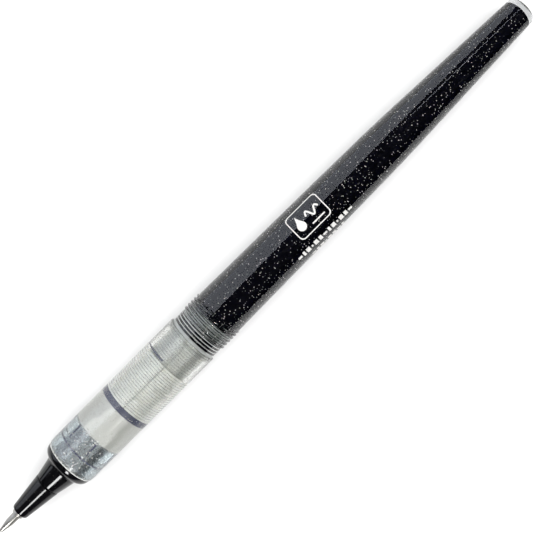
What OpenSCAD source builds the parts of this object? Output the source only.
// Liquid-ink rollerball unit: a steel ball point in a black nose, a clear
// grip over a finned ink collector, and a tapered clear tank with a thread
// that screws it into a pen barrel.
// The pen lies along X, ball towards -X and closed tank end towards +X.
// The origin is the centre of the shoulder that seats against the barrel.
// Outlines are lists of [x, radius] points, turned round the X axis.

/* [Ball point] */
// Diameter of the writing ball
ball_d = 0.5; // [0.5:0.1:0.6]
// Length of the ball point that stands out of its holder
point_l = 4.7; // [4.5:0.1:4.9]
// Diameter of the ball point's parallel shank
point_d = 1.46; // [1.4:0.02:1.5]
// Diameter of the collar that sits on the holder's mouth
collar_d = 2.04; // [2:0.02:2.1]

/* [Nose] */
// Length of the front holder, from its mouth to the seam
holder_l = 6.7; // [6.5:0.1:7]
// Diameter of the holder at its mouth
mouth_d = 2.8; // [2.7:0.1:3]
// Diameter of the nose at the seam
seam_d = 4.76; // [4.6:0.02:4.9]
// Length of the rear nose cone, from the seam to the flange
cone_l = 3.8; // [3.6:0.1:4]
// Diameter of the rear nose cone at the foot of the flange
foot_d = 6.1; // [6:0.1:6.2]
// Length of the domed flange
flange_l = 1.6; // [1.5:0.1:1.8]

/* [Grip] */
// Length of the clear grip shell
grip_l = 28.6; // [28:0.1:30]
// Outside diameter of the grip shell
grip_d = 9.3; // [9.2:0.1:9.5]
// Wall thickness of the grip shell
grip_wall = 0.8; // [0.7:0.05:0.85]

/* [Collector] */
// Distance between collector fins
fin_pitch = 0.45; // [0.4:0.05:0.5]
// Thickness of each collector fin
fin_t = 0.32; // [0.28:0.02:0.34]
// Diameter of the collector's solid hub
hub_d = 5.2; // [4.8:0.1:5.4]
// Width of the lengthwise ink slit through the fins
slit_w = 0.2; // [0.15:0.05:0.3]
// Diameter of the fibre feed rod
rod_d = 1.8; // [1.6:0.1:1.8]
// Number of windows round the front sleeve
window_count = 6; // [4:1:8]

/* [Tank] */
// Length of the tank behind the shoulder
tank_l = 74.6; // [74:0.1:78]
// Diameter of the neck, and of the tank where its taper starts
neck_d = 8.7; // [8.6:0.02:8.8]
// Diameter of the tank halfway, where the steeper taper starts
waist_d = 7.54; // [7.4:0.02:7.6]
// Diameter of the tank just before its rounded end
tail_d = 5; // [4.9:0.1:5.1]
// Wall thickness of the tank
tank_wall = 0.75; // [0.7:0.05:0.8]
// Thickness of the tank's closed end
end_wall = 1.1; // [1:0.1:1.5]

/* [Barrel thread] */
// Crest diameter of the thread
thread_d = 9.12; // [9.04:0.02:9.16]
// Pitch of the thread
thread_pitch = 0.7; // [0.7:0.05:0.75]
// Number of turns
thread_turns = 5.75; // [5:0.25:6]
// Distance from the shoulder to the first turn
thread_start = 2.25; // [2.15:0.05:2.4]

/* [Hidden] */
$fn = 96;

// Gap between the ball and its socket, and between parts that slide together
ball_gap = 0.015;
fit_gap = 0.02;

// Places along the pen, from the ball back to the tank
flange_x = -grip_l;
foot_x = flange_x - flange_l;
seam_x = foot_x - cone_l;
mouth_x = seam_x - holder_l;
tip_x = mouth_x - point_l;
ball_x = tip_x + ball_d / 2;

// Ball point: front lip, end of its cone, and its bores
lip_x = ball_x - 0.06;
lip_r = ball_d / 2 + 0.05;
point_cone_l = 2.1;
shank_end_x = mouth_x - 0.65;
collar_end_x = mouth_x + 0.2;
stem_r = 0.85;
stem_end_x = mouth_x + 6;
capillary_r = 0.16;
capillary_end_x = ball_x + 1.2;
core_r = 0.4;

// Nose: spigots that hold the pieces together
mouth_round_l = 1;
mouth_round_r = 0.2;
seam_groove = 0.2;
seam_chamfer = 0.17;
holder_spigot_r = 1.6;
holder_spigot_l = 3.6;
foot_fillet = 0.25;
flange_drop = 0.2;
nose_spigot_r = 3.3;
nose_spigot_end_x = -22.4;
nose_tube_r = 1.7;
nose_tube_end_x = -19.8;
rod_bore_r = rod_d / 2 + 0.03;
rod_front_x = seam_x + 0.6;

// Grip shell and what slides into it
grip_r = grip_d / 2;
bore_r = grip_r - grip_wall;
inner_r = bore_r - fit_gap;
grip_edge_l = 0.9;
grip_edge = 0.18;
shoulder_edge = 0.06;

// Front sleeve: capillary groove and windows
sleeve_front_x = flange_x + 0.2;
sleeve_groove_x = -25.95;
sleeve_groove_w = 0.25;
sleeve_groove_depth = 0.35;
window_l = 2.6;
window_w = 0.3;
window_mid_x = -23.6;
window_turn = 16;
sleeve_end_x = -16.2;

// Collector: front disc behind the ink ring, fins, and the narrower fins
// that reach into the tank's spigot
ink_ring_w = 1.1;
comb_x = sleeve_end_x + ink_ring_w;
spigot_l = 5.15;
spigot_bore_r = 3.2;
comb_r = inner_r - 0.03;
rear_comb_r = spigot_bore_r - 0.04;
front_fins = floor((-spigot_l - 0.2 - comb_x) / fin_pitch);
comb_end_x = comb_x + front_fins * fin_pitch;
rear_fins = 11;
collector_end_x = comb_end_x + rear_fins * fin_pitch;

// Stopper that closes the tank's mouth: a plain collar, thin ribs with wide
// ink gaps, then thick ribs with narrow gaps
stopper_x = collector_end_x + 0.1;
rib_x = 0.26;
rib_pitch = 0.535;
rib_t = 0.13;
rib_count = 4;
rear_rib_x = rib_x + rib_count * rib_pitch;
rear_rib_pitch = 0.39;
rear_rib_t = 0.17;
rear_rib_count = 6;
stopper_r = spigot_bore_r - fit_gap;
stopper_hub_r = 2.3;
stopper_end_x = rear_rib_x + rear_rib_count * rear_rib_pitch;
rod_end_x = stopper_end_x + 8;

// Tank outline, the register that centres its neck in the grip, and its cavity
register_l = 0.8;
taper_x = 7.2;
waist_x = 44;
dome_l = 1.5;
cavity_dome_l = 0.9;
neck_r = neck_d / 2;
cavity_x = stopper_end_x + 0.3;
cavity_cone_l = 0.6;
ink_r = spigot_bore_r;
air_gap = 0.01;

// Thread ridge
thread_flank = 0.27;
thread_crest = 0.05;
thread_sink = 0.12;
turn_steps = 36;

// Ink film against the front of the tank's spigot
ink_arc_t = 0.25;
ink_arc_turn = 76;
ink_arc_r = 3.3;

// Quadratic curve from p0 to p2, pulled towards p1
function curve(p0, p1, p2, steps) =
    [for (i = [0:steps]) let (t = i / steps)
        (1 - t) * (1 - t) * p0 + 2 * (1 - t) * t * p1 + t * t * p2];

// Outside of the tank behind its neck, drawn in by an inset, up to its end
// dome, which is closed at end_x
function tank_side(inset, end_x, dome) = concat(
    [[taper_x, neck_r - inset]],
    curve([taper_x + 3, neck_r - 0.06 - inset],
          [36, neck_r - 0.38 - inset],
          [waist_x, waist_d / 2 - inset], 8),
    curve([waist_x, waist_d / 2 - inset],
          [waist_x + 2.8, waist_d / 2 - 0.085 - inset],
          [waist_x + 7, waist_d / 2 - 0.28 - inset], 5),
    curve([end_x - dome, tail_d / 2 - inset],
          [end_x - 0.05, tail_d / 2 - inset],
          [end_x, 0], 10)
);

module turned(outline) {
    rotate([0, 90, 0])
        rotate_extrude()
            polygon([for (p = outline) [p[1], p[0]]]);
}

// Plain ring or rod along X
module ring(x0, x1, outer_r, hole_r = 0) {
    turned([[x0, hole_r], [x0, outer_r], [x1, outer_r], [x1, hole_r]]);
}

// Row of thin discs on a hub, each disc in front of its gap
module comb(x0, count, pitch, disc_t, disc_r, hub_r, hole_r) {
    turned(concat(
        [[x0, hole_r]],
        [for (i = [0:count - 1]) let (x = x0 + i * pitch)
            each [[x, hub_r], [x, disc_r], [x + disc_t, disc_r], [x + disc_t, hub_r]]],
        [[x0 + count * pitch, hub_r], [x0 + count * pitch, hole_r]]
    ));
}

module ball() {
    color("silver")
        translate([ball_x, 0, 0])
            sphere(d = ball_d);
}

module writing_tip() {
    color("lightgray")
        difference() {
            turned([
                [lip_x, 0], [lip_x, lip_r],
                [lip_x + point_cone_l, point_d / 2 - 0.02],
                [shank_end_x - 0.06, point_d / 2], [shank_end_x, point_d / 2],
                [shank_end_x + 0.08, collar_d / 2 - 0.04],
                [shank_end_x + 0.14, collar_d / 2],
                [collar_end_x, collar_d / 2], [collar_end_x, stem_r],
                [stem_end_x, stem_r], [stem_end_x, 0]
            ]);
            translate([ball_x, 0, 0])
                sphere(r = ball_d / 2 + ball_gap);
            ring(ball_x, capillary_end_x + 0.1, capillary_r);
            ring(capillary_end_x, stem_end_x + 1, core_r + fit_gap);
        }
}

// Thin fibre core that carries ink from the feed rod to the ball
module tip_core() {
    color("whitesmoke")
        ring(capillary_end_x + 0.05, rod_front_x, core_r);
}

module tip_holder() {
    mouth_r = mouth_d / 2;
    color([0.05, 0.05, 0.06])
        difference() {
            turned(concat(
                [[mouth_x, 0]],
                curve([mouth_x, mouth_r],
                      [mouth_x + 0.2, mouth_r + 0.14],
                      [mouth_x + mouth_round_l, mouth_r + mouth_round_r], 5),
                [[seam_x - seam_chamfer, seam_d / 2 - 0.05],
                 [seam_x - fit_gap, seam_d / 2 - seam_groove],
                 [seam_x - fit_gap, holder_spigot_r],
                 [seam_x + holder_spigot_l, holder_spigot_r],
                 [seam_x + holder_spigot_l, 0]]
            ));
            ring(mouth_x - 1, collar_end_x, collar_d / 2 + fit_gap);
            ring(mouth_x, stem_end_x + 0.1, stem_r + 0.01);
            ring(stem_end_x, rod_front_x, core_r + 0.05);
            ring(rod_front_x - 0.05, seam_x + holder_spigot_l + 1, rod_bore_r);
        }
}

module nose_cone() {
    color([0.04, 0.04, 0.05])
        difference() {
            turned(concat(
                [[seam_x, 0], [seam_x, seam_d / 2 - seam_groove],
                 [seam_x + seam_chamfer, seam_d / 2],
                 [foot_x - foot_fillet, foot_d / 2 - 0.03]],
                curve([foot_x, foot_d / 2 + 0.1],
                      [foot_x + 0.3, grip_r - flange_drop - 0.05],
                      [flange_x - fit_gap, grip_r - flange_drop], 9),
                [[flange_x - fit_gap, nose_spigot_r],
                 [nose_spigot_end_x - 0.2, nose_spigot_r],
                 [nose_spigot_end_x, nose_spigot_r - 0.2],
                 [nose_spigot_end_x, nose_tube_r],
                 [nose_tube_end_x, nose_tube_r], [nose_tube_end_x, 0]]
            ));
            ring(seam_x - 1, seam_x + holder_spigot_l + 0.1, holder_spigot_r + fit_gap);
            ring(seam_x, nose_tube_end_x + 1, rod_bore_r);
        }
}

// Clear tube that the fingers hold, open at both ends and counterbored at
// the rear; its rear face is the shoulder
module grip_shell() {
    color([0.8, 0.81, 0.78, 0.4])
        turned([
            [flange_x, bore_r], [flange_x, grip_r - grip_edge],
            [flange_x + grip_edge_l / 3, grip_r - grip_edge / 3],
            [flange_x + grip_edge_l, grip_r], [-shoulder_edge, grip_r],
            [0, grip_r - shoulder_edge], [0, neck_r + fit_gap],
            [-register_l, neck_r + fit_gap], [-register_l, bore_r]
        ]);
}

// Cutters for the row of narrow windows round the front sleeve
module windows(width) {
    for (i = [0:window_count - 1])
        rotate([window_turn + i * 360 / window_count, 0, 0])
            translate([window_mid_x - window_l / 2, -width / 2, 0])
                cube([window_l, width, grip_r]);
}

// Sleeve that holds the nose's spigot, with a groove and a row of windows
module front_sleeve() {
    color([0.72, 0.76, 0.78, 0.6])
        difference() {
            turned([
                [sleeve_front_x, 0], [sleeve_front_x, inner_r],
                [sleeve_groove_x, inner_r],
                [sleeve_groove_x, inner_r - sleeve_groove_depth],
                [sleeve_groove_x + sleeve_groove_w, inner_r - sleeve_groove_depth],
                [sleeve_groove_x + sleeve_groove_w, inner_r],
                [sleeve_end_x, inner_r], [sleeve_end_x, 0]
            ]);
            ring(sleeve_front_x - 1, nose_spigot_end_x + 0.2, nose_spigot_r + fit_gap);
            ring(sleeve_front_x, nose_tube_end_x + 0.2, nose_tube_r + fit_gap);
            ring(sleeve_front_x, sleeve_end_x + 1, rod_bore_r);
            windows(window_w);
        }
}

// Finned ink collector with a lengthwise slit
module collector() {
    color([0.86, 0.87, 0.85, 0.7])
        difference() {
            union() {
                comb(comb_x, front_fins, fin_pitch, fin_t, comb_r, hub_d / 2, rod_bore_r);
                comb(comb_end_x, rear_fins, fin_pitch, fin_t, rear_comb_r, hub_d / 2, rod_bore_r);
            }
            translate([comb_x - 1, -slit_w / 2, hub_d / 2 - 0.4])
                cube([collector_end_x - comb_x + 2, slit_w, grip_r]);
        }
}

// Ribbed inner plug that closes the tank's mouth round the feed rod
module tank_stopper() {
    color([0.85, 0.86, 0.86])
        union() {
            ring(stopper_x, rib_x, stopper_r, rod_bore_r);
            comb(rib_x, rib_count, rib_pitch, rib_t, stopper_r, stopper_hub_r, rod_bore_r);
            comb(rear_rib_x, rear_rib_count, rear_rib_pitch, rear_rib_t,
                 stopper_r, stopper_hub_r, rod_bore_r);
        }
}

// Fibre rod that draws ink from the tank to the nose
module feed_rod() {
    color([0.25, 0.26, 0.3])
        ring(rod_front_x, rod_end_x, rod_d / 2);
}

// Corner k of the thread ridge's section, at its place along the helix
function ridge_corner(k, fade) =
    let (crest_r = neck_r + (thread_d / 2 - neck_r) * fade)
    k == 0 ? [-thread_flank, neck_r - thread_sink] :
    k == 1 ? [-thread_crest, crest_r] :
    k == 2 ? [thread_crest, crest_r] :
             [thread_flank, neck_r - thread_sink];

// Helical ridge that fades in and out over a third of a turn
module thread_ridge() {
    steps = floor(thread_turns * turn_steps);
    fade_steps = turn_steps / 3;
    corners = 4;
    points = [
        for (i = [0:steps], k = [0:corners - 1])
            let (fade = min(1, (i + 1) / fade_steps, (steps - i + 1) / fade_steps),
                 turn = 360 * i / turn_steps,
                 corner = ridge_corner(k, fade))
            [thread_start + thread_pitch * i / turn_steps + corner[0],
             corner[1] * cos(turn), corner[1] * sin(turn)]
    ];
    sides = [
        for (i = [0:steps - 1], k = [0:corners - 1])
            let (a = i * corners + k, b = i * corners + (k + 1) % corners)
            each [[a, b, b + corners], [a, b + corners, a + corners]]
    ];
    last = steps * corners;
    polyhedron(
        points = points,
        faces = concat([[3, 2, 1, 0]], sides, [[last, last + 1, last + 2, last + 3]])
    );
}

module ink_tank() {
    cavity_r = neck_r - tank_wall;
    color([0.75, 0.77, 0.8, 0.4])
        difference() {
            union() {
                turned(concat(
                    [[-spigot_l, 0], [-spigot_l, inner_r - 0.1],
                     [0.1 - spigot_l, inner_r], [-register_l, inner_r], [-register_l, neck_r],
                     [taper_x - 0.3, neck_r]],
                    tank_side(0, tank_l, dome_l)
                ));
                thread_ridge();
            }
            turned(concat(
                [[-spigot_l - 1, 0], [-spigot_l - 1, spigot_bore_r],
                 [cavity_x, spigot_bore_r], [cavity_x + cavity_cone_l, cavity_r]],
                tank_side(tank_wall, tank_l - end_wall, cavity_dome_l)
            ));
        }
}

// Ink held in the ball point behind the ball
module tip_ink() {
    color([0.02, 0.02, 0.04])
        ring(ball_x + ball_d / 2 + 0.05, capillary_end_x, capillary_r - air_gap);
}

// Ink in the front sleeve's capillary groove, and in its windows
module sleeve_ink() {
    color([0.2, 0.22, 0.3]) {
        ring(sleeve_groove_x + air_gap, sleeve_groove_x + sleeve_groove_w - air_gap,
             inner_r, inner_r - sleeve_groove_depth + air_gap);
        intersection() {
            ring(window_mid_x - window_l / 2 + air_gap, window_mid_x + window_l / 2 - air_gap,
                 inner_r, nose_spigot_r + fit_gap + air_gap);
            windows(window_w - 2 * air_gap);
        }
    }
}

// Ink between the sleeve and the first fin, and an arc at the tank's spigot
module collector_ink() {
    color([0.1, 0.1, 0.18]) {
        ring(sleeve_end_x + air_gap, comb_x - air_gap, inner_r, rod_bore_r);
        rotate([0, 90, 0])
            translate([0, 0, -spigot_l - ink_arc_t - air_gap])
                rotate([0, 0, 90])
                    rotate_extrude(angle = ink_arc_turn)
                        translate([ink_arc_r, 0])
                            square([bore_r - ink_arc_r - air_gap, ink_arc_t]);
    }
}

// Row of ink rings, each in the gap behind a rib
module rib_ink(x0, count, pitch, disc_t) {
    for (i = [0:count - 1])
        ring(x0 + i * pitch + disc_t + air_gap, x0 + (i + 1) * pitch - air_gap,
             stopper_r, stopper_hub_r + air_gap);
}

// Ink between the stopper's ribs
module stopper_ink() {
    color([0.03, 0.03, 0.05]) {
        rib_ink(rib_x, rib_count, rib_pitch, rib_t);
        rib_ink(rear_rib_x, rear_rib_count, rear_rib_pitch, rear_rib_t);
    }
}

// Body of ink that fills the tank
module tank_ink() {
    inset = tank_wall + air_gap;
    color([0.02, 0.02, 0.03])
        difference() {
            turned(concat(
                [[stopper_end_x + air_gap, 0], [stopper_end_x + air_gap, ink_r - air_gap],
                 [cavity_x + air_gap, ink_r - air_gap],
                 [cavity_x + cavity_cone_l + air_gap, neck_r - inset]],
                tank_side(inset, tank_l - end_wall - air_gap, cavity_dome_l)
            ));
            ring(stopper_end_x - 1, rod_end_x + air_gap, rod_d / 2 + air_gap);
        }
}

ball();
writing_tip();
tip_core();
tip_holder();
nose_cone();
grip_shell();
front_sleeve();
collector();
tank_stopper();
feed_rod();
ink_tank();
tip_ink();
sleeve_ink();
collector_ink();
stopper_ink();
tank_ink();
